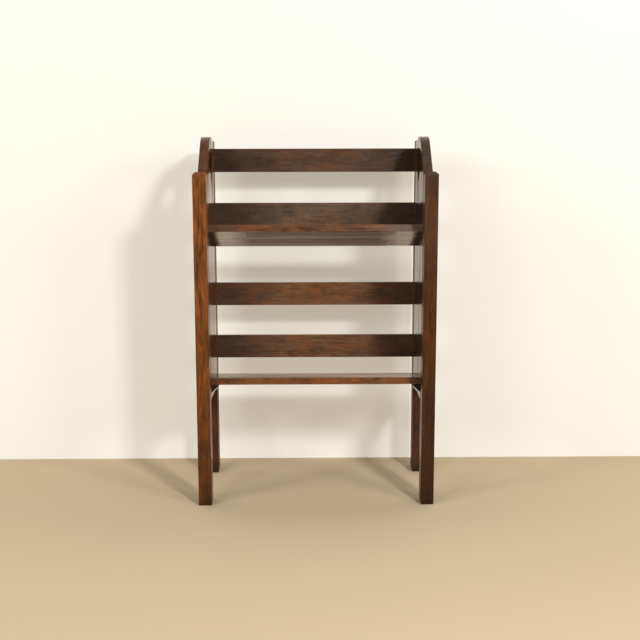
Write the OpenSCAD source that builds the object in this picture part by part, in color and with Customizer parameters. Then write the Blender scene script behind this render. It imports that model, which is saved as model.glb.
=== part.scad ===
// Two-tier oak book trough: four posts, two pierced side panels, two sloping shelves and four
// back slats that lean with the books. Millimetres, +Z up, front towards -Y, origin on the floor
// under the middle of the stand.

/* [Stand] */
// Width over the posts
stand_w = 476; // [420:1:600]
// Depth over the posts
stand_d = 254; // [246:1:300]

/* [Posts] */
// Width of a post, seen from the front
post_w = 26.5; // [24:0.5:34]
// Depth of a post, seen from the side
post_d = 42; // [38:1:46]
// Height of the front posts
front_post_h = 671; // [640:1:690]
// Height of the rear posts above the front posts
rear_rise_h = 48; // [40:1:54]
// Radius of the eased long edges of the posts
post_ease_r = 2; // [1:0.25:4]
// Radius of the rounded tops and feet of the posts
post_end_r = 4; // [1.5:0.5:6]

/* [Side panels] */
// Thickness of a side panel
panel_t = 18.5; // [16:0.5:22]
// Height of the crest above the rear posts
crest_rise_h = 14; // [9:1:24]
// Radius of the crest
crest_r = 72; // [60:1:78]
// Distance of the crest behind the middle of the stand
crest_y = 20; // [5:1:25]
// Distance of the lower front corner below the lower shelf's front edge
panel_front_drop_h = 42; // [36:1:54]
// Distance of the lower rear corner below the lower shelf's front edge
panel_rear_drop_h = 62; // [58:1:78]
// Rise of the hollow lower edge above the straight line between its corners
hollow_h = 4.5; // [1:0.5:7]
// Thickness of the tongues that enter the posts
tongue_t = 6; // [4:0.5:7]
// Length of the tongues
tongue_l = 8; // [5:0.5:12]
// Distance from a tongue's ends to the ends of the joint
tongue_stop_h = 15; // [10:1:40]

/* [Heart] */
// Width of the pierced heart
heart_w = 66; // [56:1:70]
// Radius of the heart's two lobes
heart_lobe_r = 18; // [17:0.5:19]
// Radius of the heart's long sides
heart_side_r = 120; // [90:5:200]
// Distance of the lobes' centres below the crest
heart_drop_h = 49; // [42:1:60]

/* [Shelves] */
// Thickness of a shelf
shelf_t = 14; // [10:0.5:16]
// Radius of the eased edges of shelves and slats
ease_r = 1.5; // [0.5:0.25:2.5]
// Distance of a shelf's front edge behind the panels' front edge
shelf_set_d = 13; // [10:1:18]
// How much less than the rest of the panels' depth a shelf measures along its slope
shelf_short_d = 17; // [15:1:37]
// Distance of the upper shelf's front edge below the middle of the slat behind it
upper_shelf_drop_h = 2; // [0:0.5:14]
// Slope of the upper shelf, down towards the back, in degrees
upper_shelf_tilt = 20; // [12:0.5:22]
// Height of the lower shelf's front edge above the floor
lower_shelf_h = 253; // [200:1:270]
// Slope of the lower shelf, down towards the back, in degrees
lower_shelf_tilt = 10; // [6:0.5:12]
// Depth of the housings that hold a shelf's ends
housing_l = 6; // [4:0.5:9]

/* [Slats] */
// Height of a slat
slat_h = 48.5; // [40:0.5:52]
// Thickness of a slat
slat_t = 14; // [12:0.5:16]
// Lean of the slats, back from upright, in degrees
slat_lean = 6; // [0:0.5:7]
// Distance between the two slats of a tier, along their lean
slat_pitch = 113; // [90:1:120]
// Distance of a tier's lower slat behind the rear posts' front edges, at its middle
slat_set_d = 4; // [3:0.5:7]
// Distance of the middle of the upper tier's lower slat below the top of the rear posts
upper_slat_drop_h = 151.5; // [145:0.5:165]
// Height of the middle of the lower tier's lower slat above the lower shelf's front edge
lower_slat_rise_h = 30; // [24:0.5:52]
// Length of the stub tenons
tenon_l = 8; // [5:0.5:8.5]
// Thickness of the stub tenons
tenon_t = 6; // [4:0.5:7]
// Shoulder above and below a tenon
tenon_shoulder_h = 6; // [4:0.5:8]

/* [Cleats] */
// Legs of the triangular cleats under the lower shelf
cleat_leg = 16; // [10:0.5:18]
// Distance of a cleat's ends from the shelf's edges
cleat_set_d = 2; // [1:0.5:20]

/* [Fits] */
// Clearance on each side of a tongue, tenon or housed end
fit = 0.1; // [0.05:0.05:0.2]
// Room left for glue at the end of a tongue, tenon or housed end
glue_room = 0.4; // [0.2:0.1:0.5]

/* [Hidden] */

// Fineness of small round edges, of the heart's lobes, of the long curves and of the lower edge
ease_fn = 32;
round_fn = 96;
long_fn = 360;
hollow_fn = 1440;
// How far a cutter runs past the face that it opens, and a tongue's root into its panel
past = 1;
// Where the heart's long sides leave its lobes, below the level of their centres, in degrees
heart_leave = 30;

front_post_color = "sienna";
rear_post_color = "saddlebrown";
panel_color = "peru";
shelf_color = "rosybrown";
slat_color = [0.27, 0.20, 0.16];
cleat_color = [0.16, 0.12, 0.10];

// Inner faces of posts and panels, to each side of the middle
inner_x = stand_w / 2 - post_w;
front_y = -stand_d / 2;
rear_y = stand_d / 2;
// Front and rear edges of the side panels, where they meet the posts
panel_front_y = front_y + post_d;
panel_rear_y = rear_y - post_d;
panel_front_z = lower_shelf_h - panel_front_drop_h;
panel_rear_z = lower_shelf_h - panel_rear_drop_h;
tongue_x = inner_x + post_w / 2;

rear_post_h = front_post_h + rear_rise_h;
crest_h = rear_post_h + crest_rise_h;
crest_c = [crest_y, crest_h - crest_r];
heart_c = [crest_y, crest_h - heart_drop_h];
front_corner = [panel_front_y, panel_front_z];
rear_corner = [panel_rear_y, panel_rear_z];
front_shoulder = [panel_front_y, front_post_h];
rear_shoulder = [panel_rear_y, rear_post_h];

tier_rise = slat_pitch * cos(slat_lean);
tier_run = slat_pitch * sin(slat_lean);
slat_y = panel_rear_y + slat_set_d;
upper_slat_z = rear_post_h - upper_slat_drop_h;
lower_slat_z = lower_shelf_h + lower_slat_rise_h;

shelf_front_y = panel_front_y + shelf_set_d;
shelf_d = panel_rear_y - shelf_front_y - shelf_short_d;
upper_shelf_z = upper_slat_z - upper_shelf_drop_h;

// Point where the line from p touches the circle of radius r round c, on the side given by turn
function touch_point(p, c, r, turn) =
    let (away = norm(c - p), aim = atan2(c.y - p.y, c.x - p.x) + turn * asin(r / away))
    p + sqrt(away * away - r * r) * [cos(aim), sin(aim)];

// Radius of the arc over a straight line of the given length with the given rise
function arc_radius(span, rise) = (span * span / 4 + rise * rise) / (2 * rise);

// Rectangle from the origin with eased corners, in exact arcs
module eased_rect(w, h, r) {
    translate([r, 0]) square([w - 2 * r, h]);
    translate([0, r]) square([w, h - 2 * r]);
    for (x = [r, w - r], y = [r, h - r]) {
        translate([x, y]) circle(r, $fn = ease_fn);
    }
}

// Extrudes an outline drawn in Y and Z along X, from x0 to x1
module along_x(x0, x1) {
    translate([x0, 0, 0]) rotate([90, 0, 90]) linear_extrude(x1 - x0) children();
}

// Upright bar with eased edges and more rounded ends, one corner at the origin
module eased_post(h) {
    intersection() {
        linear_extrude(h) eased_rect(post_w, post_d, post_ease_r);
        along_x(0, post_w) eased_rect(post_d, h, post_end_r);
        translate([0, post_d, 0]) rotate([90, 0, 0]) linear_extrude(post_d)
            eased_rect(post_w, h, post_end_r);
    }
}

// A tongue of a right side panel, rooted inside the panel, between the two ends of the joint.
// Grown on all sides, with room at its tip, it is the cutter for its groove.
module tongue(y0, z0, z1, grow, end_room) {
    translate([tongue_x - tongue_t / 2 - grow, y0, z0 + tongue_stop_h - grow])
        cube([tongue_t + 2 * grow, past + tongue_l + end_room, z1 - z0 - 2 * tongue_stop_h + 2 * grow]);
}

module front_tongue(grow = 0, end_room = 0) {
    tongue(panel_front_y - tongue_l - end_room, panel_front_z, front_post_h, grow, end_room);
}

module rear_tongue(grow = 0, end_room = 0) {
    tongue(panel_rear_y - past, panel_rear_z, rear_post_h, grow, end_room);
}

// Places children in a shelf's frame: origin on its upper front edge, Y down its slope
module at_shelf(height, tilt) {
    translate([0, shelf_front_y, height]) rotate([-tilt, 0, 0]) children();
}

module shelf_outline(grow = 0) {
    translate([-grow, -shelf_t - grow])
        eased_rect(shelf_d + 2 * grow, shelf_t + 2 * grow, ease_r + grow);
}

module shelf(height, tilt) {
    end_x = inner_x + housing_l;
    at_shelf(height, tilt) along_x(-end_x, end_x) shelf_outline();
}

// Stopped housing for a shelf's right end
module housing(height, tilt) {
    at_shelf(height, tilt) along_x(inner_x - past, inner_x + housing_l + glue_room) shelf_outline(fit);
}

// Places children in a slat's frame: origin at mid-height on its front face
module at_slat(height, step) {
    translate([0, slat_y + step * tier_run, height + step * tier_rise])
        rotate([-slat_lean, 0, 0]) children();
}

module tenon_outline(grow = 0) {
    translate([(slat_t - tenon_t) / 2 - grow, tenon_shoulder_h - slat_h / 2 - grow])
        square([tenon_t + 2 * grow, slat_h - 2 * tenon_shoulder_h + 2 * grow]);
}

module slat(height, step) {
    at_slat(height, step) {
        along_x(-inner_x, inner_x) translate([0, -slat_h / 2]) eased_rect(slat_t, slat_h, ease_r);
        along_x(-inner_x - tenon_l, inner_x + tenon_l) tenon_outline();
    }
}

// Mortise for a slat's right end
module mortise(height, step) {
    at_slat(height, step) along_x(inner_x - past, inner_x + tenon_l + glue_room) tenon_outline(fit);
}

// Heart with its point down, drawn round the middle of its lobes' centres
module heart() {
    lobe_x = heart_w / 2 - heart_lobe_r;
    leave_z = -heart_lobe_r * sin(heart_leave);
    side_c = [lobe_x - (heart_side_r - heart_lobe_r) * cos(heart_leave),
              (heart_side_r - heart_lobe_r) * sin(heart_leave)];
    for (side = [-1, 1]) {
        translate([side * lobe_x, 0]) circle(heart_lobe_r, $fn = round_fn);
    }
    intersection() {
        translate([side_c.x, side_c.y]) circle(heart_side_r, $fn = long_fn);
        translate([-side_c.x, side_c.y]) circle(heart_side_r, $fn = long_fn);
        translate([-heart_w / 2, leave_z - heart_w]) square([heart_w, heart_w]);
    }
}

// Side panel between the posts, in Y and Z: crest, shoulders, hollow lower edge and heart
module panel_outline() {
    front_touch = touch_point(front_shoulder, crest_c, crest_r, 1);
    rear_touch = touch_point(rear_shoulder, crest_c, crest_r, -1);
    chord = rear_corner - front_corner;
    lower_r = arc_radius(norm(chord), hollow_h);
    chord_up = [-chord.y, chord.x] / norm(chord);
    lower_c = (front_corner + rear_corner) / 2 - (lower_r - hollow_h) * chord_up;
    difference() {
        union() {
            polygon([front_corner, front_shoulder, front_touch, crest_c, rear_touch, rear_shoulder,
                     rear_corner]);
            intersection() {
                translate(crest_c) circle(crest_r, $fn = long_fn);
                translate([panel_front_y, crest_c.y]) square([panel_rear_y - panel_front_y, crest_r + past]);
            }
        }
        translate(lower_c) circle(lower_r, $fn = hollow_fn);
        translate(heart_c) heart();
    }
}

module right_front_post() {
    difference() {
        translate([inner_x, front_y, 0]) eased_post(front_post_h);
        front_tongue(fit, glue_room);
    }
}

module right_rear_post() {
    difference() {
        translate([inner_x, panel_rear_y, 0]) eased_post(rear_post_h);
        rear_tongue(fit, glue_room);
        for (height = [upper_slat_z, lower_slat_z], step = [0, 1]) {
            mortise(height, step);
        }
    }
}

module right_side_panel() {
    difference() {
        union() {
            along_x(inner_x, inner_x + panel_t) panel_outline();
            front_tongue();
            rear_tongue();
        }
        housing(upper_shelf_z, upper_shelf_tilt);
        housing(lower_shelf_h, lower_shelf_tilt);
    }
}

// Triangular cleat in the corner under the lower shelf's right end
module right_cleat() {
    at_shelf(lower_shelf_h, lower_shelf_tilt)
        translate([inner_x, shelf_d - cleat_set_d, -shelf_t]) rotate([90, 0, 0])
        linear_extrude(shelf_d - 2 * cleat_set_d)
        polygon([[0, 0], [-cleat_leg, 0], [0, -cleat_leg]]);
}

module front_post_left() { color(front_post_color) mirror([1, 0, 0]) right_front_post(); }
module front_post_right() { color(front_post_color) right_front_post(); }
module rear_post_left() { color(rear_post_color) mirror([1, 0, 0]) right_rear_post(); }
module rear_post_right() { color(rear_post_color) right_rear_post(); }
module side_panel_left() { color(panel_color) mirror([1, 0, 0]) right_side_panel(); }
module side_panel_right() { color(panel_color) right_side_panel(); }
module upper_shelf() { color(shelf_color) shelf(upper_shelf_z, upper_shelf_tilt); }
module lower_shelf() { color(shelf_color) shelf(lower_shelf_h, lower_shelf_tilt); }
module upper_tier_top_slat() { color(slat_color) slat(upper_slat_z, 1); }
module upper_tier_bottom_slat() { color(slat_color) slat(upper_slat_z, 0); }
module lower_tier_top_slat() { color(slat_color) slat(lower_slat_z, 1); }
module lower_tier_bottom_slat() { color(slat_color) slat(lower_slat_z, 0); }
module lower_cleat_left() { color(cleat_color) mirror([1, 0, 0]) right_cleat(); }
module lower_cleat_right() { color(cleat_color) right_cleat(); }

front_post_left();
front_post_right();
rear_post_left();
rear_post_right();
side_panel_left();
side_panel_right();
upper_shelf();
lower_shelf();
upper_tier_top_slat();
upper_tier_bottom_slat();
lower_tier_top_slat();
lower_tier_bottom_slat();
lower_cleat_left();
lower_cleat_right();
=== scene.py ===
"""Dresses the oak book trough: stained oak on every piece, eased side panels, and the stage."""

import math

import bmesh
import bpy
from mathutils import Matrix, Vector


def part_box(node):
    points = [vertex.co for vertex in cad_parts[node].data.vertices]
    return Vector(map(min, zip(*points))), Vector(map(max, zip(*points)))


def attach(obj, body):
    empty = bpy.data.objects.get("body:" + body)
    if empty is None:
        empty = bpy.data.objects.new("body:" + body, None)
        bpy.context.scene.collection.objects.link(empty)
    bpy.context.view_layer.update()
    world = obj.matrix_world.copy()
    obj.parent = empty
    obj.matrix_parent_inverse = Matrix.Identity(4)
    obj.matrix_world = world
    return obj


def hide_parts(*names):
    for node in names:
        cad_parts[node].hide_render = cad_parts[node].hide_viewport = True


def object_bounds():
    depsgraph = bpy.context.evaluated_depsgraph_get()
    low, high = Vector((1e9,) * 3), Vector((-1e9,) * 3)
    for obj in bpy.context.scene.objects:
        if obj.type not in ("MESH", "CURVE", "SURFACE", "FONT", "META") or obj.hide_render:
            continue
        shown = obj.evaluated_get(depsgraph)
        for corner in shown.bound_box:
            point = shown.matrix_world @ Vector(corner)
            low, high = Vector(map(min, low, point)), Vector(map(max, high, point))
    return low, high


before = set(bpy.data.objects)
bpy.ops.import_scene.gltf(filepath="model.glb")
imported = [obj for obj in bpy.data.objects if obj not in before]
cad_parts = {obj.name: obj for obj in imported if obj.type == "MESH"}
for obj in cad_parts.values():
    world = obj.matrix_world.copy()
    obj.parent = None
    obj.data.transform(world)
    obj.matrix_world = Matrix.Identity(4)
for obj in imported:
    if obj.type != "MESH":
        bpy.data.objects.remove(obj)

bl_info = {
    "name": "Oak book trough",
    "version": (1, 0, 0),
    "blender": (4, 5, 0),
    "location": "View3D > Sidebar > Book Trough",
    "description": "Finishes the pieces of a two-tier oak book trough and sets its stage",
    "category": "Object",
}

CAD_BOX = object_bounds()
MM = 0.001

# Tilts of the boards about the X axis, as the part's source has them
SLAT_LEAN = math.radians(-6)
UPPER_SHELF_TILT = math.radians(-20)
LOWER_SHELF_TILT = math.radians(-10)

# Half sizes of the tilted boards in their own axes, without the ends inside the joints, in mm
SLAT_HALF = (211.5, 7.0, 24.25)
SHELF_HALF = (211.5, 70.0, 7.0)

# About the middle of the side panels' hearts along Y and Z, how far from it their painted shade
# reaches and over what distance it fades, and the depths below a panel's faces over which a heart's
# walls turn dark with painted shade, in mm
HEART_MIDDLE = (20.0, 676.0)
HEART_REACH = 44.0
HEART_FADE = 1.0
HEART_SKIN = (0.4, 1.4)

# How a side panel's mesh is cleaned before its edges are eased: doubles nearer than this are
# merged, flatter joins are dissolved, faces nearer to X look sideways, edges this close to a post's
# face still count as clear of it, and steeper edges shade as sharp
MERGE_DISTANCE = 1e-6
FLAT_ANGLE = math.radians(0.3)
SIDEWAYS = 0.99
JOINT_SLACK = 0.01 * MM
SHARP_ANGLE = math.radians(25)

# Camera: lens and sensor in mm, place in metres, and turn in degrees
CAMERA_LENS = 70.74
CAMERA_SENSOR = 36.0
CAMERA_PLACE = (-0.0187, -2.5537, 0.8705)
CAMERA_TURN = (78.65, 0.082, -0.6485)

# Lamps: azimuth to the right of the front and elevation, in degrees, size in metres, and the
# stage's setting that holds the power. All aim at one point from one distance, in metres
LAMPS = (
    ("right_lamp", 25, 29, 0.3, "key_power"),
    ("left_lamp", -31, 28, 0.8, "fill_power"),
    ("right_side_lamp", 46, 22, 0.6, "side_power"),
    ("left_side_lamp", -53, 22, 0.6, "side_power"),
)
LAMP_DISTANCE = 3.0
LAMP_AIM = Vector((0, 0, 0.4))

# Floor and wall of the stage, in metres
FLOOR_WIDTH, FLOOR_DEPTH = 16.0, 20.0
WALL_WIDTH, WALL_HEIGHT = 8.0, 4.0

# Colour behind the stage, as it is seen
SKY = (250, 249, 246)

# Sizes of the oak's marks across, through and along the grain, in mm
WANDER_SIZE = (60, 60, 210)
BAND_SIZE = (3.6, 14, 700)
STREAK_SIZE = (1.2, 1.6, 60)
CLUMP_SIZE = (3.2, 3.8, 24)
LINE_SIZE = (2.5, 3.4, 48)
PORE_SIZE = (0.55, 0.55, 9)
RAY_SIZE = (13, 5, 3.2)
RAY_ZONE_SIZE = (45, 45, 70)
PATCH_SIZE = (18, 18, 42)
CLOUD_SIZE = (34, 34, 55)
VARNISH_RUN_SIZE = (24, 24, 260)

# Sizes of the marks of wear and dirt, of the painted shade at a board's ends and of the painted
# reflection under the upper shelf, along a piece's own X, Y and Z, in mm
WEAR_SIZE = (14, 14, 14)
DAMP_SIZE = (8, 8, 5)
END_SHADE_SIZE = (40, 30, 30)
BLOOM_SIZE = (5.5, 5.5, 110)
BLOTCH_SIZE = (14, 10, 10)
REFLECTION_BREAK_SIZE = (45, 5, 5)

# How far the figure wanders across a board, in mm, how steeply the rays slant along it, and the
# shift of the figure from one board to the next, in mm
WANDER_REACH = 26.0
RAY_SLANT = 0.6
FIGURE_STEP = (137.0, 71.0, 319.0)

# Stretches of noise over which a mark goes from none to full
BROAD = (0.3, 0.7)
LINES_SHOWN = (0.54, 0.66)
PORES_SHOWN = (0.56, 0.68)
RAYS_SHOWN = (0.58, 0.68)
RAY_ZONES_SHOWN = (0.35, 0.55)
WARM_SHOWN = (0.36, 0.64)
VARNISH_RUNS_SHOWN = (0.36, 0.78)
WEAR_SHOWN = (0.35, 0.65)

# Stretches and the shares that they turn into: open pores by growth band, brown and warm colour by
# tone, bloom by streak, and the painted reflection by its breaks
PORES_BY_BAND = (0.35, 0.6, 1.0, 0.35)
BROWN_BY_TONE = (0.05, 0.85, 0.2, 1.0)
WARM_BY_TONE = (0.2, 0.75, 0.1, 1.0)
BLOOM_BY_STREAK = (0.38, 0.56, 0.3, 1.0)
REFLECTION_BY_BREAKS = (0.36, 0.6, 0.7, 1.0)

# Shares of bands, streaks and clumps in the tone of the stain, of the pores in its dark colour and
# in the varnish's roughness, and of the streaks in the relief, whose depth is in metres
BAND_SHARE, STREAK_SHARE, CLUMP_SHARE = 0.25, 0.25, 0.5
PORE_SHARE = 0.45
PORE_ROUGHNESS = 0.4
RIDGE_SHARE = 0.15
RELIEF_DEPTH = 0.0002

# How much lighter a ray fleck is, and the power by which wear thins away from an arris
FLECK_LIGHTENING = (1.8, 1.75, 1.6, 1)
WEAR_FALLOFF = 1.5

# Heights up a post over which grime thins, and of the damp at its foot and its ragged edge, and the
# distances from a post's end over which the grain turns raw, in mm
GRIME_HEIGHTS = (30.0, 600.0)
DAMP_HEIGHT = 18.0
DAMP_RAGGED = 14.0
RAW_DEPTHS = (4.0, 1.0)

# How raggedly the painted shade at a board's ends begins, in mm
END_SHADE_RAGGED = 40.0

# Painted pale reflection under the upper shelf, in mm from the board's ends and from its arrises:
# where it starts and is full, how raggedly it and the painted shade in the corners begin, and the
# depth of the edge and the underside
REFLECTION_FROM_END = (48.0, 5.0)
REFLECTION_RAGGED = 60.0
CORNER_SHADE_FROM_END = (8.0, -4.0)
CORNER_SHADE_RAGGED = 20.0
EDGE_DEPTHS = (3.0, 1.0)
UNDERSIDE_DEPTHS = (2.5, 1.0)

# Share of the painted reflection left between the ends, the roughness under it, and the share of
# the painted shade in the corners
REFLECTION_LEFT = 0.06
REFLECTING_ROUGHNESS = 0.1
CORNER_SHADE_SHARE = 0.9

# Where the upper shelf's front edge turns bare to the right and dull to the left, in mm along X,
# how much it does, scaled with the painted reflection's share, and the share of grime in the dull
# part's colour
BARE_STRETCH = (110.0, 165.0)
DULL_STRETCH = (-120.0, -180.0)
BARE_SHARE, DULL_SHARE = 0.8, 0.65
DULL_SOIL = 0.5

# A post's bloom from its middle up, as shares of its half height, its dark handled top, in mm from
# the end, and how dark that is beside the bloom
BLOOM_RISE = (0.2, 0.8)
HANDLED_FROM_END = (52.0, 34.0)
HANDLED_SHARE = 0.45


def linear(red, green, blue):
    """Linear colour for an 8-bit one as it is seen."""
    def channel(value):
        value /= 255
        return value / 12.92 if value <= 0.04045 else ((value + 0.055) / 1.055) ** 2.4
    return (channel(red), channel(green), channel(blue), 1.0)


def toned(colour, tone):
    """A colour made lighter or darker by a factor."""
    return tuple(min(1.0, channel * tone) for channel in colour[:3]) + (1.0,)


def middle(name):
    """Centre of a node's box."""
    low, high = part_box(name)
    return (Vector(low) + Vector(high)) / 2


def half_size(name):
    """Half of a node's box, in mm."""
    low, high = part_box(name)
    return tuple((Vector(high) - Vector(low)) / 2 / MM)


# Node trees


class Tree:
    """Adds nodes to a node tree, each with its settings, and sets or links its inputs."""

    def __init__(self, tree):
        self.tree = tree

    def add(self, kind, inputs=None, **settings):
        made = self.tree.nodes.new(kind)
        for name, value in settings.items():
            setattr(made, name, value)
        for key, value in (inputs or {}).items():
            self.feed(made.inputs[key], value)
        return made

    def feed(self, socket, value):
        if isinstance(value, bpy.types.NodeSocket):
            self.tree.links.new(value, socket)
        else:
            socket.default_value = value

    def maths(self, operation, a, b=0.0, c=0.0, clamp=False):
        return self.add("ShaderNodeMath", {0: a, 1: b, 2: c}, operation=operation,
                        use_clamp=clamp).outputs[0]

    def vectors(self, operation, a, b):
        return self.add("ShaderNodeVectorMath", {0: a, 1: b}, operation=operation).outputs[0]

    def split(self, vector):
        return self.add("ShaderNodeSeparateXYZ", {0: vector}).outputs

    def join(self, x, y, z):
        return self.add("ShaderNodeCombineXYZ", {0: x, 1: y, 2: z}).outputs[0]

    def span(self, value, low, high, to_low=0.0, to_high=1.0):
        """Turns the stretch of a value from low to high into another stretch, held at its ends."""
        return self.add("ShaderNodeMapRange",
                        {0: value, 1: low, 2: high, 3: to_low, 4: to_high}).outputs[0]

    def blend(self, factor, a, b, mode="MIX"):
        made = self.add("ShaderNodeMix", data_type="RGBA", blend_type=mode)
        for socket, value in ((made.inputs[0], factor), (made.inputs[6], a), (made.inputs[7], b)):
            self.feed(socket, value)
        return made.outputs[2]

    def noise(self, place, size, detail=2.0, roughness=0.5, distortion=0.0):
        """Noise whose features have this size along each axis, in the units of the place."""
        return self.add("ShaderNodeTexNoise", {
            "Vector": self.vectors("DIVIDE", place, size), "Scale": 1.0, "Detail": detail,
            "Roughness": roughness, "Distortion": distortion}).outputs["Fac"]

    def group(self, name, inputs):
        return self.add("ShaderNodeGroup", inputs, node_tree=shared_group(name)).outputs


def new_group(name, inputs, outputs):
    """Empty shader node group with these sockets: its tree and the sockets inside it."""
    group = bpy.data.node_groups.new(name, "ShaderNodeTree")
    for title, kind, default in inputs:
        socket = group.interface.new_socket(title, in_out="INPUT", socket_type="NodeSocket" + kind)
        socket.default_value = default
    for title, kind in outputs:
        group.interface.new_socket(title, in_out="OUTPUT", socket_type="NodeSocket" + kind)
    tree = Tree(group)
    return tree, tree.add("NodeGroupInput").outputs, tree.add("NodeGroupOutput").inputs


def build_oak_figure():
    """Growth bands, fine streaks, short clumps, dark lines, open pores and ray fleck of
    quartersawn oak, for places in mm across, through and along the grain."""
    tree, given, out = new_group(
        "Oak Figure",
        [("Grain", "Vector", (0, 0, 0))],
        [("Bands", "Float"), ("Streaks", "Float"), ("Clumps", "Float"), ("Lines", "Float"),
         ("Pores", "Float"), ("Flecks", "Float")])
    wander = tree.noise(given["Grain"], WANDER_SIZE, detail=1.0)
    swing = tree.maths("MULTIPLY", tree.maths("SUBTRACT", wander, 0.5), WANDER_REACH)
    bent = tree.vectors("ADD", given["Grain"], tree.join(swing, 0.0, 0.0))
    bands = tree.noise(bent, BAND_SIZE, roughness=0.6)
    streaks = tree.noise(bent, STREAK_SIZE, roughness=0.55)
    clumps = tree.noise(bent, CLUMP_SIZE, detail=3.0, roughness=0.65)
    lines = tree.noise(bent, LINE_SIZE, roughness=0.6)
    pores = tree.noise(bent, PORE_SIZE, detail=1.0)
    open_bands = tree.span(bands, *PORES_BY_BAND)
    across, through, along = tree.split(bent)
    slanted = tree.join(across, through, tree.maths("MULTIPLY_ADD", across, RAY_SLANT, along))
    rays = tree.noise(slanted, RAY_SIZE, distortion=0.8)
    zones = tree.noise(given["Grain"], RAY_ZONE_SIZE, detail=1.0)
    tree.feed(out["Bands"], tree.span(bands, *BROAD))
    tree.feed(out["Streaks"], tree.span(streaks, *BROAD))
    tree.feed(out["Clumps"], tree.span(clumps, *BROAD))
    tree.feed(out["Lines"], tree.span(lines, *LINES_SHOWN))
    tree.feed(out["Pores"], tree.maths("MULTIPLY", tree.span(pores, *PORES_SHOWN), open_bands))
    tree.feed(out["Flecks"], tree.maths("MULTIPLY", tree.span(rays, *RAYS_SHOWN),
                                        tree.span(zones, *RAY_ZONES_SHOWN)))


def build_stained_oak():
    """Stained oak: its colour, its roughness from 0 to 1, and its relief from -1 in the pores to a
    little above 0 on the ridges."""
    tree, given, out = new_group(
        "Stained Oak",
        [("Grain", "Vector", (0, 0, 0)), ("Dark", "Color", (0.03, 0.02, 0.01, 1)),
         ("Brown", "Color", (0.1, 0.05, 0.03, 1)), ("Warm", "Color", (0.2, 0.07, 0.02, 1)),
         ("Warmth", "Float", 0.5), ("Fleck", "Float", 0.3), ("Lines", "Float", 0.3)],
        [("Color", "Color"), ("Roughness", "Float"), ("Relief", "Float")])
    marks = tree.group("Oak Figure", {"Grain": given["Grain"]})
    patches = tree.noise(given["Grain"], PATCH_SIZE, detail=4.0, roughness=0.68)
    clouds = tree.noise(given["Grain"], CLOUD_SIZE, distortion=0.6)
    runs = tree.noise(given["Grain"], VARNISH_RUN_SIZE)
    tone = tree.maths("MULTIPLY", marks["Bands"], BAND_SHARE)
    tone = tree.maths("MULTIPLY_ADD", marks["Streaks"], STREAK_SHARE, tone)
    tone = tree.maths("MULTIPLY_ADD", marks["Clumps"], CLUMP_SHARE, tone)
    tone = tree.maths("ADD", tree.maths("SUBTRACT", clouds, 0.5), tone)
    colour = tree.blend(tree.span(tone, *BROWN_BY_TONE), given["Dark"], given["Brown"])
    warm = tree.maths("MULTIPLY", tree.span(patches, *WARM_SHOWN), given["Warmth"])
    warm = tree.maths("MULTIPLY", warm, tree.span(tone, *WARM_BY_TONE))
    colour = tree.blend(warm, colour, given["Warm"])
    lighter = tree.blend(1.0, colour, FLECK_LIGHTENING, "MULTIPLY")
    flecks = tree.maths("MULTIPLY", marks["Flecks"], given["Fleck"])
    colour = tree.blend(flecks, colour, lighter)
    lines = tree.maths("MULTIPLY", marks["Lines"], given["Lines"])
    colour = tree.blend(lines, colour, given["Dark"])
    pores = tree.maths("MULTIPLY", marks["Pores"], PORE_SHARE)
    colour = tree.blend(pores, colour, given["Dark"])
    dull = tree.maths("MULTIPLY_ADD", marks["Pores"], PORE_ROUGHNESS, runs)
    ridges = tree.maths("MULTIPLY", marks["Streaks"], RIDGE_SHARE)
    tree.feed(out["Color"], colour)
    tree.feed(out["Roughness"], tree.span(dull, *VARNISH_RUNS_SHOWN))
    tree.feed(out["Relief"], tree.maths("SUBTRACT", ridges, marks["Pores"]))


def build_arris_wear():
    """Mask of the rubbed arrises of a board, for places in mm from its middle in its own axes."""
    tree, given, out = new_group(
        "Arris Wear",
        [("Place", "Vector", (0, 0, 0)), ("Half Size", "Vector", (10, 10, 10)),
         ("Reach", "Float", 3.0)],
        [("Wear", "Float")])
    away = tree.vectors("ABSOLUTE", given["Place"], (0, 0, 0))
    x, y, z = tree.split(tree.vectors("SUBTRACT", given["Half Size"], away))
    pairs = [tree.maths("MAXIMUM", a, b) for a, b in ((x, y), (y, z), (x, z))]
    nearest = tree.maths("MINIMUM", tree.maths("MINIMUM", pairs[0], pairs[1]), pairs[2])
    close = tree.maths("SUBTRACT", 1.0, tree.maths("DIVIDE", nearest, given["Reach"]), clamp=True)
    broken = tree.noise(given["Place"], WEAR_SIZE, detail=3.0, roughness=0.6)
    tree.feed(out["Wear"], tree.maths("MULTIPLY", tree.maths("POWER", close, WEAR_FALLOFF),
                                      tree.span(broken, *WEAR_SHOWN)))


def build_damp_foot():
    """Masks of the grime that thins up a post, of the damp at its foot and of its raw ends, for
    places in mm from its middle."""
    tree, given, out = new_group(
        "Damp Foot",
        [("Place", "Vector", (0, 0, 0)), ("Half Height", "Float", 300.0),
         ("Grime", "Float", 0.4), ("Damp", "Float", 0.5)],
        [("Grime", "Float"), ("Damp", "Float"), ("Raw End", "Float")])
    height = tree.split(given["Place"])["Z"]
    rise = tree.maths("ADD", height, given["Half Height"])
    uneven = tree.noise(given["Place"], DAMP_SIZE)
    ragged = tree.maths("MULTIPLY_ADD", uneven, -DAMP_RAGGED, rise)
    from_end = tree.maths("SUBTRACT", given["Half Height"], tree.maths("ABSOLUTE", height))
    tree.feed(out["Grime"], tree.span(rise, *GRIME_HEIGHTS, given["Grime"], 0.0))
    tree.feed(out["Damp"], tree.span(ragged, 0.0, DAMP_HEIGHT, given["Damp"], 0.0))
    tree.feed(out["Raw End"], tree.span(from_end, *RAW_DEPTHS))


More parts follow.
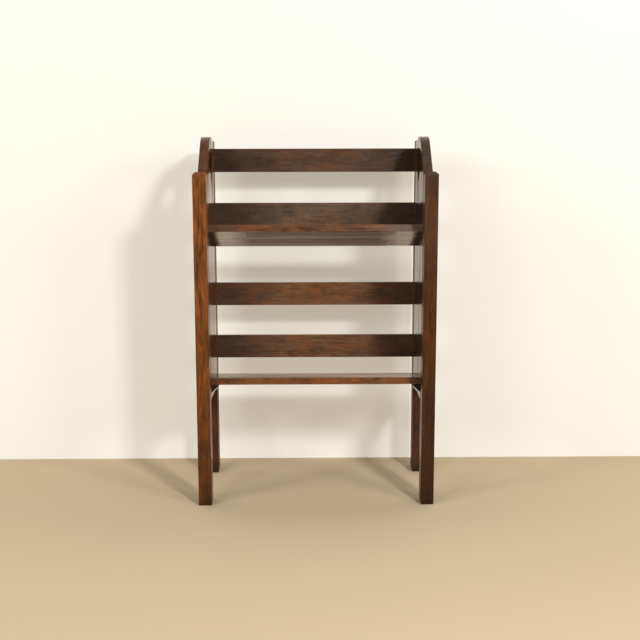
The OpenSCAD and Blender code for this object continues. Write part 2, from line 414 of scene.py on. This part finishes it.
def build_shaded_ends():
    """Mask of the painted shade towards a board's ends, for places in mm from its middle, with X
    along the board."""
    tree, given, out = new_group(
        "Soiled Ends",
        [("Place", "Vector", (0, 0, 0)), ("Share", "Float", 0.5), ("Start", "Float", 60.0),
         ("Full", "Float", 180.0)],
        [("Soil", "Float")])
    uneven = tree.maths("SUBTRACT", tree.noise(given["Place"], END_SHADE_SIZE), 0.5)
    from_middle = tree.maths("ABSOLUTE", tree.split(given["Place"])["X"])
    uneven = tree.maths("MULTIPLY_ADD", uneven, END_SHADE_RAGGED, from_middle)
    tree.feed(out["Soil"], tree.span(uneven, given["Start"], given["Full"], 0.0, given["Share"]))


def build_heart_shade():
    """Mask of the painted shade on the sawn walls inside a side panel's heart, for places in mm
    from the panel's middle."""
    tree, given, out = new_group(
        "Heart Walls",
        [("Place", "Vector", (0, 0, 0)), ("Heart", "Vector", (0, 0, 0)),
         ("Half Thickness", "Float", 9.0)],
        [("Inside", "Float")])
    across, y, z = tree.split(tree.vectors("SUBTRACT", given["Place"], given["Heart"]))
    off = tree.add("ShaderNodeVectorMath", {0: tree.join(0.0, y, z)},
                   operation="LENGTH").outputs["Value"]
    depth = tree.maths("SUBTRACT", given["Half Thickness"], tree.maths("ABSOLUTE", across))
    near = tree.span(off, HEART_REACH, HEART_REACH - HEART_FADE)
    tree.feed(out["Inside"], tree.maths("MULTIPLY", near, tree.span(depth, *HEART_SKIN)))


GROUP_BUILDERS = {
    "Oak Figure": build_oak_figure,
    "Stained Oak": build_stained_oak,
    "Arris Wear": build_arris_wear,
    "Damp Foot": build_damp_foot,
    "Soiled Ends": build_shaded_ends,
    "Heart Walls": build_heart_shade,
}


def shared_group(name):
    """The shader node group of this name, built at its first use."""
    if name not in bpy.data.node_groups:
        GROUP_BUILDERS[name]()
    return bpy.data.node_groups[name]


# Materials


class Board:
    """A piece's own axes: where its middle is, its tilt about X, its half size in mm, the axes that
    its grain reads as across, through and along, and whether a heart is pierced through it."""

    def __init__(self, name, axes, half=None, tilt=0.0, pierced=False):
        self.centre = middle(name)
        self.half = half or half_size(name)
        self.axes = axes
        self.tilt = tilt
        self.pierced = pierced


class Look:
    """How one board's oak differs from the common finish.

    The seed shifts its figure. Tone and warm tone lighten its brown and its warm patches. Grey,
    warmth, fleck and lines are its shares of dull wax, warm patches, ray fleck and dark lines.
    Bloom greys a post towards its top, grime darkens it towards its foot, and damp darkens the
    foot. Its pale_reflection is the share of a painted pale reflection under the ends of a
    shelf's underside, and its front edge turns bare and dull with it. Its soil_and_shade is the
    share of painted shade at a board's ends, and the distances from its middle where it starts
    and is full, in mm. Wear is how much its arrises are rubbed, sheen the least and most
    roughness of its varnish, and ior its refraction."""

    def __init__(self, seed, tone=1.0, grey=0.5, warmth=0.5, warm_tone=1.0, fleck=0.3, lines=0.3,
                 bloom=0.0, grime=0.0, damp=0.0, pale_reflection=0.0, soil_and_shade=None, wear=0.2, sheen=(0.19, 0.42),
                 ior=1.36):
        self.seed = seed
        self.tone = tone
        self.grey = grey
        self.warmth = warmth
        self.warm_tone = warm_tone
        self.fleck = fleck
        self.lines = lines
        self.bloom = bloom
        self.grime = grime
        self.damp = damp
        self.pale_reflection = pale_reflection
        self.soil_and_shade = soil_and_shade
        self.wear = wear
        self.sheen = sheen
        self.ior = ior


def mixed(first, second, share):
    """A colour between two others."""
    return tuple(a + (b - a) * share for a, b in zip(first, second))


def bloomed(tree, place, rise, board, look, finish, colour):
    """Colour of a post that is greyer towards its top and dark at the top itself."""
    half = board.half[2]
    start, full = (half * share for share in BLOOM_RISE)
    risen = tree.span(rise, start, full, 0.0, look.bloom)
    streaks = tree.noise(place, BLOOM_SIZE, detail=3.0)
    risen = tree.maths("MULTIPLY", risen, tree.span(streaks, *BLOOM_BY_STREAK))
    colour = tree.blend(risen, colour, toned(finish.grey_brown, look.tone))
    start, full = (half - distance for distance in HANDLED_FROM_END)
    handled = tree.span(rise, start, full, 0.0, look.bloom * HANDLED_SHARE)
    return tree.blend(handled, colour, finish.soil_and_shade)


def underside_light_and_edge_wear(tree, place, own, board, look, finish, colour, roughness):
    """Colour and roughness of a shelf with a painted pale reflection and painted shade in the
    corners under its ends, and with a front edge that is bare to the right and dull to the left."""
    half_length, half_width, half_thickness = board.half
    from_middle = tree.maths("ABSOLUTE", own["X"])
    blotches = tree.noise(place, BLOTCH_SIZE, detail=3.0, roughness=0.65)
    edge = tree.span(own["Y"], *(depth - half_width for depth in EDGE_DEPTHS))
    under = tree.span(own["Z"], *(depth - half_thickness for depth in UNDERSIDE_DEPTHS))
    under = tree.maths("SUBTRACT", under, edge, clamp=True)

    # Painted reflection: the underside pales towards its ends, with a smoother varnish there
    start, full = (half_length - distance for distance in REFLECTION_FROM_END)
    reach = tree.maths("MULTIPLY_ADD", blotches, REFLECTION_RAGGED, from_middle)
    pale_reflection = tree.maths("MULTIPLY", under,
                      tree.span(reach, start, full, look.pale_reflection * REFLECTION_LEFT, look.pale_reflection))
    reflection_breaks = tree.noise(place, REFLECTION_BREAK_SIZE, roughness=0.6)
    pale_reflection = tree.maths("MULTIPLY", pale_reflection, tree.span(reflection_breaks, *REFLECTION_BY_BREAKS))
    colour = tree.blend(pale_reflection, colour, finish.pale_reflection)
    roughness = tree.span(pale_reflection, 0.0, look.pale_reflection, roughness, REFLECTING_ROUGHNESS)

    # Painted shade: dark corners under the shelf's ends, beside the panels
    start, full = (half_length - distance for distance in CORNER_SHADE_FROM_END)
    reach = tree.maths("MULTIPLY_ADD", blotches, CORNER_SHADE_RAGGED, from_middle)
    corner = tree.maths("MULTIPLY", under, tree.span(reach, start, full, 0.0, CORNER_SHADE_SHARE))
    colour = tree.blend(corner, colour, finish.soil_and_shade)
    roughness = tree.maths("MAXIMUM", roughness, corner)

    bare = tree.span(own["X"], *BARE_STRETCH, 0.0, look.pale_reflection * BARE_SHARE)
    colour = tree.blend(tree.maths("MULTIPLY", edge, bare), colour, finish.bare)
    dull = tree.span(own["X"], *DULL_STRETCH, 0.0, look.pale_reflection * DULL_SHARE)
    colour = tree.blend(tree.maths("MULTIPLY", edge, dull), colour,
                        mixed(finish.bare, finish.soil_and_shade, DULL_SOIL))
    return colour, roughness


def oak_material(name, board, look, finish):
    """Stained and varnished oak for one board."""
    material = bpy.data.materials.new(name)
    material.use_nodes = True
    material.node_tree.nodes.clear()
    tree = Tree(material.node_tree)
    seen = tree.add("ShaderNodeTexCoord").outputs["Object"]
    place = tree.add("ShaderNodeMapping", {
        "Vector": seen, "Location": board.centre, "Rotation": (board.tilt, 0, 0),
        "Scale": (MM, MM, MM)}, vector_type="TEXTURE").outputs[0]
    own = tree.split(place)
    grain = tree.join(*(own[axis] for axis in board.axes))
    grain = tree.vectors("ADD", grain, tuple(step * look.seed for step in FIGURE_STEP))
    oak = tree.group("Stained Oak", {
        "Grain": grain,
        "Dark": toned(mixed(finish.dark, finish.grey_dark, look.grey), look.tone),
        "Brown": toned(mixed(finish.brown, finish.grey_brown, look.grey), look.tone),
        "Warm": toned(finish.warm, look.warm_tone), "Warmth": look.warmth, "Fleck": look.fleck,
        "Lines": look.lines})
    colour = oak["Color"]
    roughness = tree.span(oak["Roughness"], 0.0, 1.0, *look.sheen)
    if look.bloom:
        colour = bloomed(tree, place, own["Z"], board, look, finish, colour)
    if look.damp:
        foot = tree.group("Damp Foot", {"Place": place, "Half Height": board.half[2],
                                        "Grime": look.grime, "Damp": look.damp})
        colour = tree.blend(foot["Grime"], colour, finish.damp)
        colour = tree.blend(foot["Damp"], colour, finish.damp)
        raw = tree.maths("MULTIPLY", foot["Raw End"], finish.raw)
        roughness = tree.maths("MAXIMUM", roughness, raw)
    # Painted pale reflection and painted corner shade under the upper shelf's ends, and its worn
    # front edge
    if look.pale_reflection:
        colour, roughness = underside_light_and_edge_wear(tree, place, own, board, look, finish, colour, roughness)
    # Painted shade towards the board's ends, darkest at the ends
    if look.soil_and_shade:
        share, start, full = look.soil_and_shade
        shaded_ends = tree.group("Soiled Ends", {"Place": place, "Share": share, "Start": start,
                                            "Full": full})
        colour = tree.blend(shaded_ends["Soil"], colour, finish.soil_and_shade)
    # Painted shade on the sawn walls inside the hearts, in the damp colour
    if board.pierced:
        heart = (0.0, HEART_MIDDLE[0] - board.centre.y / MM, HEART_MIDDLE[1] - board.centre.z / MM)
        walls = tree.group("Heart Walls", {"Place": place, "Heart": heart,
                                           "Half Thickness": board.half[0]})
        colour = tree.blend(walls["Inside"], colour, finish.damp)
    rubbed = tree.group("Arris Wear", {"Place": place, "Half Size": board.half,
                                       "Reach": finish.wear_reach / MM})["Wear"]
    rubbed = tree.maths("MULTIPLY", rubbed, look.wear)
    colour = tree.blend(rubbed, colour, toned(finish.worn, look.tone))
    relief = tree.add("ShaderNodeBump", {"Strength": finish.relief, "Distance": RELIEF_DEPTH,
                                         "Height": oak["Relief"]})
    shader = tree.add("ShaderNodeBsdfPrincipled", {
        "Base Color": colour, "Roughness": roughness, "Normal": relief.outputs[0],
        "IOR": look.ior})
    tree.add("ShaderNodeOutputMaterial", {"Surface": shader.outputs[0]})
    return material


def dress_node(name, board, look, finish):
    """Puts a board's own oak in all slots of a carried-over node."""
    material = oak_material(name + "_oak", board, look, finish)
    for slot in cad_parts[name].material_slots:
        slot.material = material


# Sizes and colours


def colour_property(name, description, seen):
    """Colour setting with an 8-bit colour, as it is seen, for its default."""
    return bpy.props.FloatVectorProperty(name=name, description=description, subtype="COLOR",
                                         size=4, default=linear(*seen), min=0.0, max=1.0)


def share_property(name, description, default):
    """Setting from 0 to 1."""
    return bpy.props.FloatProperty(name=name, description=description, subtype="FACTOR",
                                   default=default, min=0.0, max=1.0)


def length_property(name, description, default, least, most, digits=3):
    """Length in metres, shown to this many digits."""
    return bpy.props.FloatProperty(name=name, description=description, unit="LENGTH",
                                   default=default, min=least, max=most, precision=digits)


def lamp_property(name, description, default):
    """Power of a lamp."""
    return bpy.props.FloatProperty(name=name, description=description, default=default,
                                   min=0.0, max=500.0)


class BookTroughFinish(bpy.types.PropertyGroup):
    """Colours and varnish of the oak."""
    dark: colour_property(
        "Dark grain", "Colour of the pores and the dark growth bands", (40, 23, 12))
    grey_dark: colour_property(
        "Grey dark grain", "Colour of the dark grain under dull old wax", (38, 30, 23))
    brown: colour_property("Brown", "Common colour of the stained oak", (112, 66, 27))
    grey_brown: colour_property(
        "Grey brown", "Colour of the oak under dull old wax", (101, 83, 65))
    warm: colour_property(
        "Warm patches", "Colour of the oak where the stain has thinned", (168, 86, 30))
    worn: colour_property("Worn arrises", "Colour of the rubbed edges", (150, 100, 66))
    # The pale colour under the upper shelf's ends is a painted reflection
    pale_reflection: colour_property(
        "Dusty ends", "Colour of the dust under the ends of the upper shelf", (236, 230, 214))
    bare: colour_property(
        "Bare edge", "Colour of the upper shelf's edge where it is rubbed bare", (94, 83, 74))
    # Painted shade in the corners under the upper shelf and at the ends of the slats and the lower
    # shelf; grime on a post's top and the shelf's dull edge
    soil_and_shade: colour_property(
        "Soiled ends", "Colour of the grime in the corners and at the slats' ends", (33, 30, 27))
    # Inside the hearts this colour is painted shade
    damp: colour_property(
        "Damp feet", "Colour of the stain at the posts' feet and inside the hearts", (24, 16, 10))
    wear_reach: length_property(
        "Wear reach", "How far the wear reaches from an arris", 0.0025, 0.0, 0.02, digits=4)
    relief: share_property("Relief", "Strength of the open grain's relief", 0.3)
    raw: share_property(
        "Raw ends", "Roughness of the end grain at the tops and feet of the posts", 0.85)


class BookTroughEasing(bpy.types.PropertyGroup):
    """Rounding of the side panels' sawn edges."""
    ease: length_property(
        "Easing", "Radius rubbed onto the panels' free edges", 0.0012, 0.0002, 0.003, digits=4)
    rounds: bpy.props.IntProperty(
        name="Steps", description="Faces across each rounding", default=3, min=1, max=6)


class BookTroughStage(bpy.types.PropertyGroup):
    """Light, wall and floor of the stage."""
    floor: colour_property("Floor", "Colour of the plain floor", (200, 180, 150))
    wall: colour_property("Wall", "Colour of the plain wall", (248, 249, 249))
    shade: colour_property("Wall in shade", "Even part of the wall's colour", (250, 241, 218))
    glint: colour_property(
        "Wall in gloss", "Even part of the wall's colour in gloss", (240, 221, 196))
    seen_share: share_property(
        "Even share seen", "Share of the even colour in the wall as the camera sees it", 0.42)
    gloss_share: share_property(
        "Even share in gloss", "Share of the even colour in the wall's reflections", 0.6)
    wall_gap: length_property(
        "Wall gap", "Room between the rear posts and the wall", 0.064, 0.01, 1.0)
    key_power: lamp_property("Right lamp", "Power of the lamp at the front right", 48.0)
    fill_power: lamp_property("Left lamp", "Power of the lamp at the front left", 17.0)
    side_power: lamp_property("Side lamps", "Power of each of the two lamps at the sides", 22.0)
    room_light: bpy.props.FloatProperty(
        name="Room light", description="Strength of the light from all round",
        default=0.17, min=0.0, max=2.0)
    room: colour_property("Room", "Colour of the light from all round", (255, 240, 214))


# Pieces


def free_edges(form, low_z, high_z, joint_y):
    """Outline edges of a side panel clear of the shelves' housings and of the posts: they lie
    between a face that looks sideways and one that doesn't, below low_z or above high_z, and nearer
    than joint_y to the middle."""
    found = []
    for edge in form.edges:
        if len(edge.link_faces) != 2:
            continue
        sideways = [abs(face.normal.x) > SIDEWAYS for face in edge.link_faces]
        heights = [vert.co.z for vert in edge.verts]
        if (sideways[0] != sideways[1] and (max(heights) < low_z or min(heights) > high_z)
                and all(abs(vert.co.y) <= joint_y for vert in edge.verts)):
            found.append(edge)
    return found


def eased_panel(name, easing):
    """Copy of a side panel with its free edges rounded, standing for the carried-over one."""
    form = bmesh.new()
    form.from_mesh(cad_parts[name].data)
    bmesh.ops.remove_doubles(form, verts=form.verts, dist=MERGE_DISTANCE)
    bmesh.ops.dissolve_limit(form, angle_limit=FLAT_ANGLE, verts=form.verts, edges=form.edges)
    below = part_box("lower_shelf")[0][2] - MM
    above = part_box("upper_shelf")[1][2]
    joint = abs(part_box("rear_post_left")[0][1]) + JOINT_SLACK
    bmesh.ops.bevel(form, geom=free_edges(form, below, above, joint), offset=easing.ease,
                    offset_type="OFFSET", segments=easing.rounds, profile=0.5, affect="EDGES",
                    clamp_overlap=True, material=-1)
    for face in form.faces:
        face.smooth = True
    for edge in form.edges:
        edge.smooth = len(edge.link_faces) == 2 and edge.calc_face_angle() < SHARP_ANGLE
    mesh = bpy.data.meshes.new(name + "_eased")
    form.to_mesh(mesh)
    form.free()
    piece = bpy.data.objects.new(name + "_eased", mesh)
    bpy.context.collection.objects.link(piece)
    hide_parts(name)
    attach(piece, "root")
    return piece


class BOOKTROUGH_OT_posts(bpy.types.Operator):
    """Finish the four corner posts"""
    bl_idname = "book_trough.posts"
    bl_label = "Posts"

    def execute(self, context):
        looks = {
            "front_post_left": Look(
                1, tone=1.42, grey=0.0, warmth=0.7, warm_tone=0.95, fleck=0.1, lines=0.75,
                grime=0.55, damp=0.6, ior=1.28),
            "front_post_right": Look(
                2, tone=0.55, grey=0.0, warmth=0.4, warm_tone=0.4, fleck=0.1, lines=0.6,
                bloom=0.7, grime=0.45, damp=0.5, ior=1.28),
            "rear_post_left": Look(
                3, tone=0.8, grey=0.1, warmth=0.5, warm_tone=0.5, grime=0.4, damp=0.6,
                sheen=(0.35, 0.6), ior=1.28),
            "rear_post_right": Look(
                4, tone=0.75, grey=0.2, warmth=0.4, warm_tone=0.4, grime=0.4, damp=0.6,
                sheen=(0.35, 0.6), ior=1.28),
        }
        for name, look in looks.items():
            dress_node(name, Board(name, "XYZ"), look, context.scene.book_trough_finish)
        return {"FINISHED"}


class BOOKTROUGH_OT_side_panels(bpy.types.Operator):
    """Ease and finish the two side panels with their heart cut-outs"""
    bl_idname = "book_trough.side_panels"
    bl_label = "Side panels"

    def execute(self, context):
        looks = {
            "side_panel_left": Look(
                5, tone=0.6, grey=0.1, warmth=0.4, warm_tone=0.5, fleck=0.4, sheen=(0.02, 0.3),
                ior=1.3),
            "side_panel_right": Look(
                6, tone=0.28, grey=0.4, warmth=0.2, warm_tone=0.25, fleck=0.4, sheen=(0.02, 0.3),
                ior=1.39),
        }
        for name, look in looks.items():
            piece = eased_panel(name, context.scene.book_trough_easing)
            board = Board(name, "YXZ", pierced=True)
            piece.data.materials.append(
                oak_material(name + "_oak", board, look, context.scene.book_trough_finish))
        return {"FINISHED"}


class BOOKTROUGH_OT_shelves(bpy.types.Operator):
    """Finish the two tilted shelves"""
    bl_idname = "book_trough.shelves"
    bl_label = "Shelves"

    def execute(self, context):
        tilts = {"upper_shelf": UPPER_SHELF_TILT, "lower_shelf": LOWER_SHELF_TILT}
        looks = {
            "upper_shelf": Look(
                7, tone=0.9, grey=0.35, warmth=0.5, warm_tone=0.75, lines=0.6, pale_reflection=0.8, wear=0.8,
                sheen=(0.24, 0.5), ior=1.27),
            # The lower shelf's darker ends are painted shade beside the posts
            "lower_shelf": Look(
                8, tone=1.12, grey=0.45, warmth=0.5, warm_tone=0.8, lines=0.6, wear=0.8,
                soil_and_shade=(0.45, 190.0, 210.0), sheen=(0.1, 0.36)),
        }
        for name, look in looks.items():
            board = Board(name, "YZX", half=SHELF_HALF, tilt=tilts[name])
            dress_node(name, board, look, context.scene.book_trough_finish)
        return {"FINISHED"}


class BOOKTROUGH_OT_slats(bpy.types.Operator):
    """Finish the four leaning back slats"""
    bl_idname = "book_trough.slats"
    bl_label = "Slats"

    def execute(self, context):
        # The slats' darker ends are painted shade where the side panels shade them
        soil_and_shade = (0.64, 60.0, 180.0)
        looks = {
            "upper_tier_top_slat": Look(
                9, tone=0.8, grey=0.7, warmth=0.4, warm_tone=0.5, fleck=0.2, soil_and_shade=soil_and_shade),
            "upper_tier_bottom_slat": Look(
                10, tone=1.22, grey=1.0, warmth=0.3, warm_tone=0.7, fleck=0.6, soil_and_shade=soil_and_shade),
            "lower_tier_top_slat": Look(
                11, tone=1.45, grey=0.65, warmth=0.7, warm_tone=0.85, fleck=0.4, soil_and_shade=soil_and_shade),
            "lower_tier_bottom_slat": Look(
                12, tone=1.45, grey=0.65, warmth=0.5, warm_tone=0.8, fleck=0.6, soil_and_shade=soil_and_shade),
        }
        for name, look in looks.items():
            board = Board(name, "ZYX", half=SLAT_HALF, tilt=SLAT_LEAN)
            dress_node(name, board, look, context.scene.book_trough_finish)
        return {"FINISHED"}


class BOOKTROUGH_OT_cleats(bpy.types.Operator):
    """Finish the two glued cleats under the lower shelf"""
    bl_idname = "book_trough.cleats"
    bl_label = "Cleats"

    def execute(self, context):
        for seed, name in ((13, "lower_cleat_left"), (14, "lower_cleat_right")):
            look = Look(seed, tone=0.15, warmth=0.0, wear=0.0, sheen=(0.5, 0.8), ior=1.3)
            dress_node(name, Board(name, "ZXY"), look, context.scene.book_trough_finish)
        return {"FINISHED"}


# Stage


def plain_sheet(name, corner, along, up):
    """Flat stage surface from a corner and two sides, and the node tree for its look."""
    form = bmesh.new()
    bmesh.ops.create_grid(form, x_segments=1, y_segments=1, size=0.5)
    corners = [corner, corner + along, corner + along + up, corner + up]
    for vert, place in zip(sorted(form.verts, key=lambda v: math.atan2(v.co.y, v.co.x)), corners):
        vert.co = place
    mesh = bpy.data.meshes.new(name)
    form.to_mesh(mesh)
    form.free()
    sheet = bpy.data.objects.new(name, mesh)
    bpy.context.collection.objects.link(sheet)
    material = bpy.data.materials.new(name)
    material.use_nodes = True
    material.node_tree.nodes.clear()
    mesh.materials.append(material)
    return Tree(material.node_tree)


def build_floor(stage):
    """Plain floor around the stand."""
    corner = Vector((-FLOOR_WIDTH / 2, -FLOOR_DEPTH / 2, 0))
    tree = plain_sheet("floor", corner, Vector((FLOOR_WIDTH, 0, 0)), Vector((0, FLOOR_DEPTH, 0)))
    surface = tree.add("ShaderNodeBsdfDiffuse", {"Color": stage.floor}).outputs[0]
    tree.add("ShaderNodeOutputMaterial", {"Surface": surface})


def build_wall(stage):
    """Wall behind the stand, clear from behind. To the camera and in gloss it shows a share of an
    even colour, so that its shadows are soft and warm."""
    corner = Vector((-WALL_WIDTH / 2, CAD_BOX[1][1] + stage.wall_gap, 0))
    tree = plain_sheet("wall", corner, Vector((WALL_WIDTH, 0, 0)), Vector((0, 0, WALL_HEIGHT)))
    path = tree.add("ShaderNodeLightPath").outputs
    share = tree.maths("MULTIPLY_ADD", path["Is Glossy Ray"], stage.gloss_share,
                       tree.maths("MULTIPLY", path["Is Camera Ray"], stage.seen_share))
    lit = tree.add("ShaderNodeBsdfDiffuse", {"Color": stage.wall}).outputs[0]
    even = tree.add("ShaderNodeEmission", {
        "Color": tree.blend(path["Is Glossy Ray"], stage.shade, stage.glint)}).outputs[0]
    surface = tree.add("ShaderNodeMixShader", {0: share, 1: lit, 2: even}).outputs[0]
    behind = tree.add("ShaderNodeNewGeometry").outputs["Backfacing"]
    clear = tree.add("ShaderNodeBsdfTransparent").outputs[0]
    surface = tree.add("ShaderNodeMixShader", {0: behind, 1: surface, 2: clear}).outputs[0]
    tree.add("ShaderNodeOutputMaterial", {"Surface": surface})


def build_camera():
    """Camera in front of the stand and a little above its middle."""
    lens = bpy.data.cameras.new("camera")
    lens.lens, lens.sensor_width = CAMERA_LENS, CAMERA_SENSOR
    camera = bpy.data.objects.new("camera", lens)
    camera.location = CAMERA_PLACE
    camera.rotation_euler = tuple(math.radians(angle) for angle in CAMERA_TURN)
    bpy.context.collection.objects.link(camera)
    bpy.context.scene.camera = camera


def area_lamp(name, azimuth, elevation, size, power):
    """Square soft lamp, turned towards the stand, at this azimuth to the right of the front."""
    turn, rise = math.radians(azimuth), math.radians(elevation)
    level = math.cos(rise)
    out = Vector((math.sin(turn) * level, -math.cos(turn) * level, math.sin(rise)))
    light = bpy.data.lights.new(name, "AREA")
    light.shape, light.size, light.energy = "SQUARE", size, power
    lamp = bpy.data.objects.new(name, light)
    lamp.location = LAMP_AIM + out * LAMP_DISTANCE
    lamp.rotation_euler = (-out).to_track_quat("-Z", "Y").to_euler()
    bpy.context.collection.objects.link(lamp)


def build_room(stage):
    """Even light from all round, and a pale sky where the camera looks past the wall."""
    world = bpy.context.scene.world or bpy.data.worlds.new("room")
    bpy.context.scene.world = world
    world.use_nodes = True
    world.node_tree.nodes.clear()
    tree = Tree(world.node_tree)
    straight = tree.add("ShaderNodeLightPath").outputs["Is Camera Ray"]
    strength = tree.span(straight, 0.0, 1.0, stage.room_light, 1.0)
    colour = tree.blend(straight, stage.room, linear(*SKY))
    light = tree.add("ShaderNodeBackground", {"Color": colour, "Strength": strength})
    tree.add("ShaderNodeOutputWorld", {"Surface": light.outputs[0]})


class BOOKTROUGH_OT_stage(bpy.types.Operator):
    """Set the camera, the four lamps, the room light, the wall and the floor"""
    bl_idname = "book_trough.stage"
    bl_label = "Stage"

    def execute(self, context):
        stage = context.scene.book_trough_stage
        build_camera()
        build_floor(stage)
        build_wall(stage)
        for name, azimuth, elevation, size, power in LAMPS:
            area_lamp(name, azimuth, elevation, size, getattr(stage, power))
        build_room(stage)
        context.scene.view_settings.view_transform = "Standard"
        return {"FINISHED"}


class BOOKTROUGH_PT_panel(bpy.types.Panel):
    """Lists the pieces of the book trough and what can be set on them"""
    bl_idname = "BOOKTROUGH_PT_panel"
    bl_label = "Book Trough"
    bl_space_type = "VIEW_3D"
    bl_region_type = "UI"
    bl_category = "Book Trough"

    def draw(self, context):
        for operator in OPERATORS:
            self.layout.operator(operator.bl_idname)
        scene = context.scene
        for settings in (scene.book_trough_finish, scene.book_trough_easing,
                         scene.book_trough_stage):
            box = self.layout.box()
            for name in settings.__annotations__:
                box.prop(settings, name)


SETTINGS = (BookTroughFinish, BookTroughEasing, BookTroughStage)
OPERATORS = (BOOKTROUGH_OT_stage, BOOKTROUGH_OT_posts, BOOKTROUGH_OT_side_panels,
             BOOKTROUGH_OT_shelves, BOOKTROUGH_OT_slats, BOOKTROUGH_OT_cleats)


def register():
    for kind in SETTINGS + OPERATORS + (BOOKTROUGH_PT_panel,):
        bpy.utils.register_class(kind)
    bpy.types.Scene.book_trough_finish = bpy.props.PointerProperty(type=BookTroughFinish)
    bpy.types.Scene.book_trough_easing = bpy.props.PointerProperty(type=BookTroughEasing)
    bpy.types.Scene.book_trough_stage = bpy.props.PointerProperty(type=BookTroughStage)


def unregister():
    del bpy.types.Scene.book_trough_finish
    del bpy.types.Scene.book_trough_easing
    del bpy.types.Scene.book_trough_stage
    for kind in reversed(SETTINGS + OPERATORS + (BOOKTROUGH_PT_panel,)):
        bpy.utils.unregister_class(kind)


def main():
    """Builds the whole scene."""
    register()
    bpy.ops.book_trough.stage()
    bpy.ops.book_trough.posts()
    bpy.ops.book_trough.side_panels()
    bpy.ops.book_trough.shelves()
    bpy.ops.book_trough.slats()
    bpy.ops.book_trough.cleats()


if __name__ == "__main__":
    main()
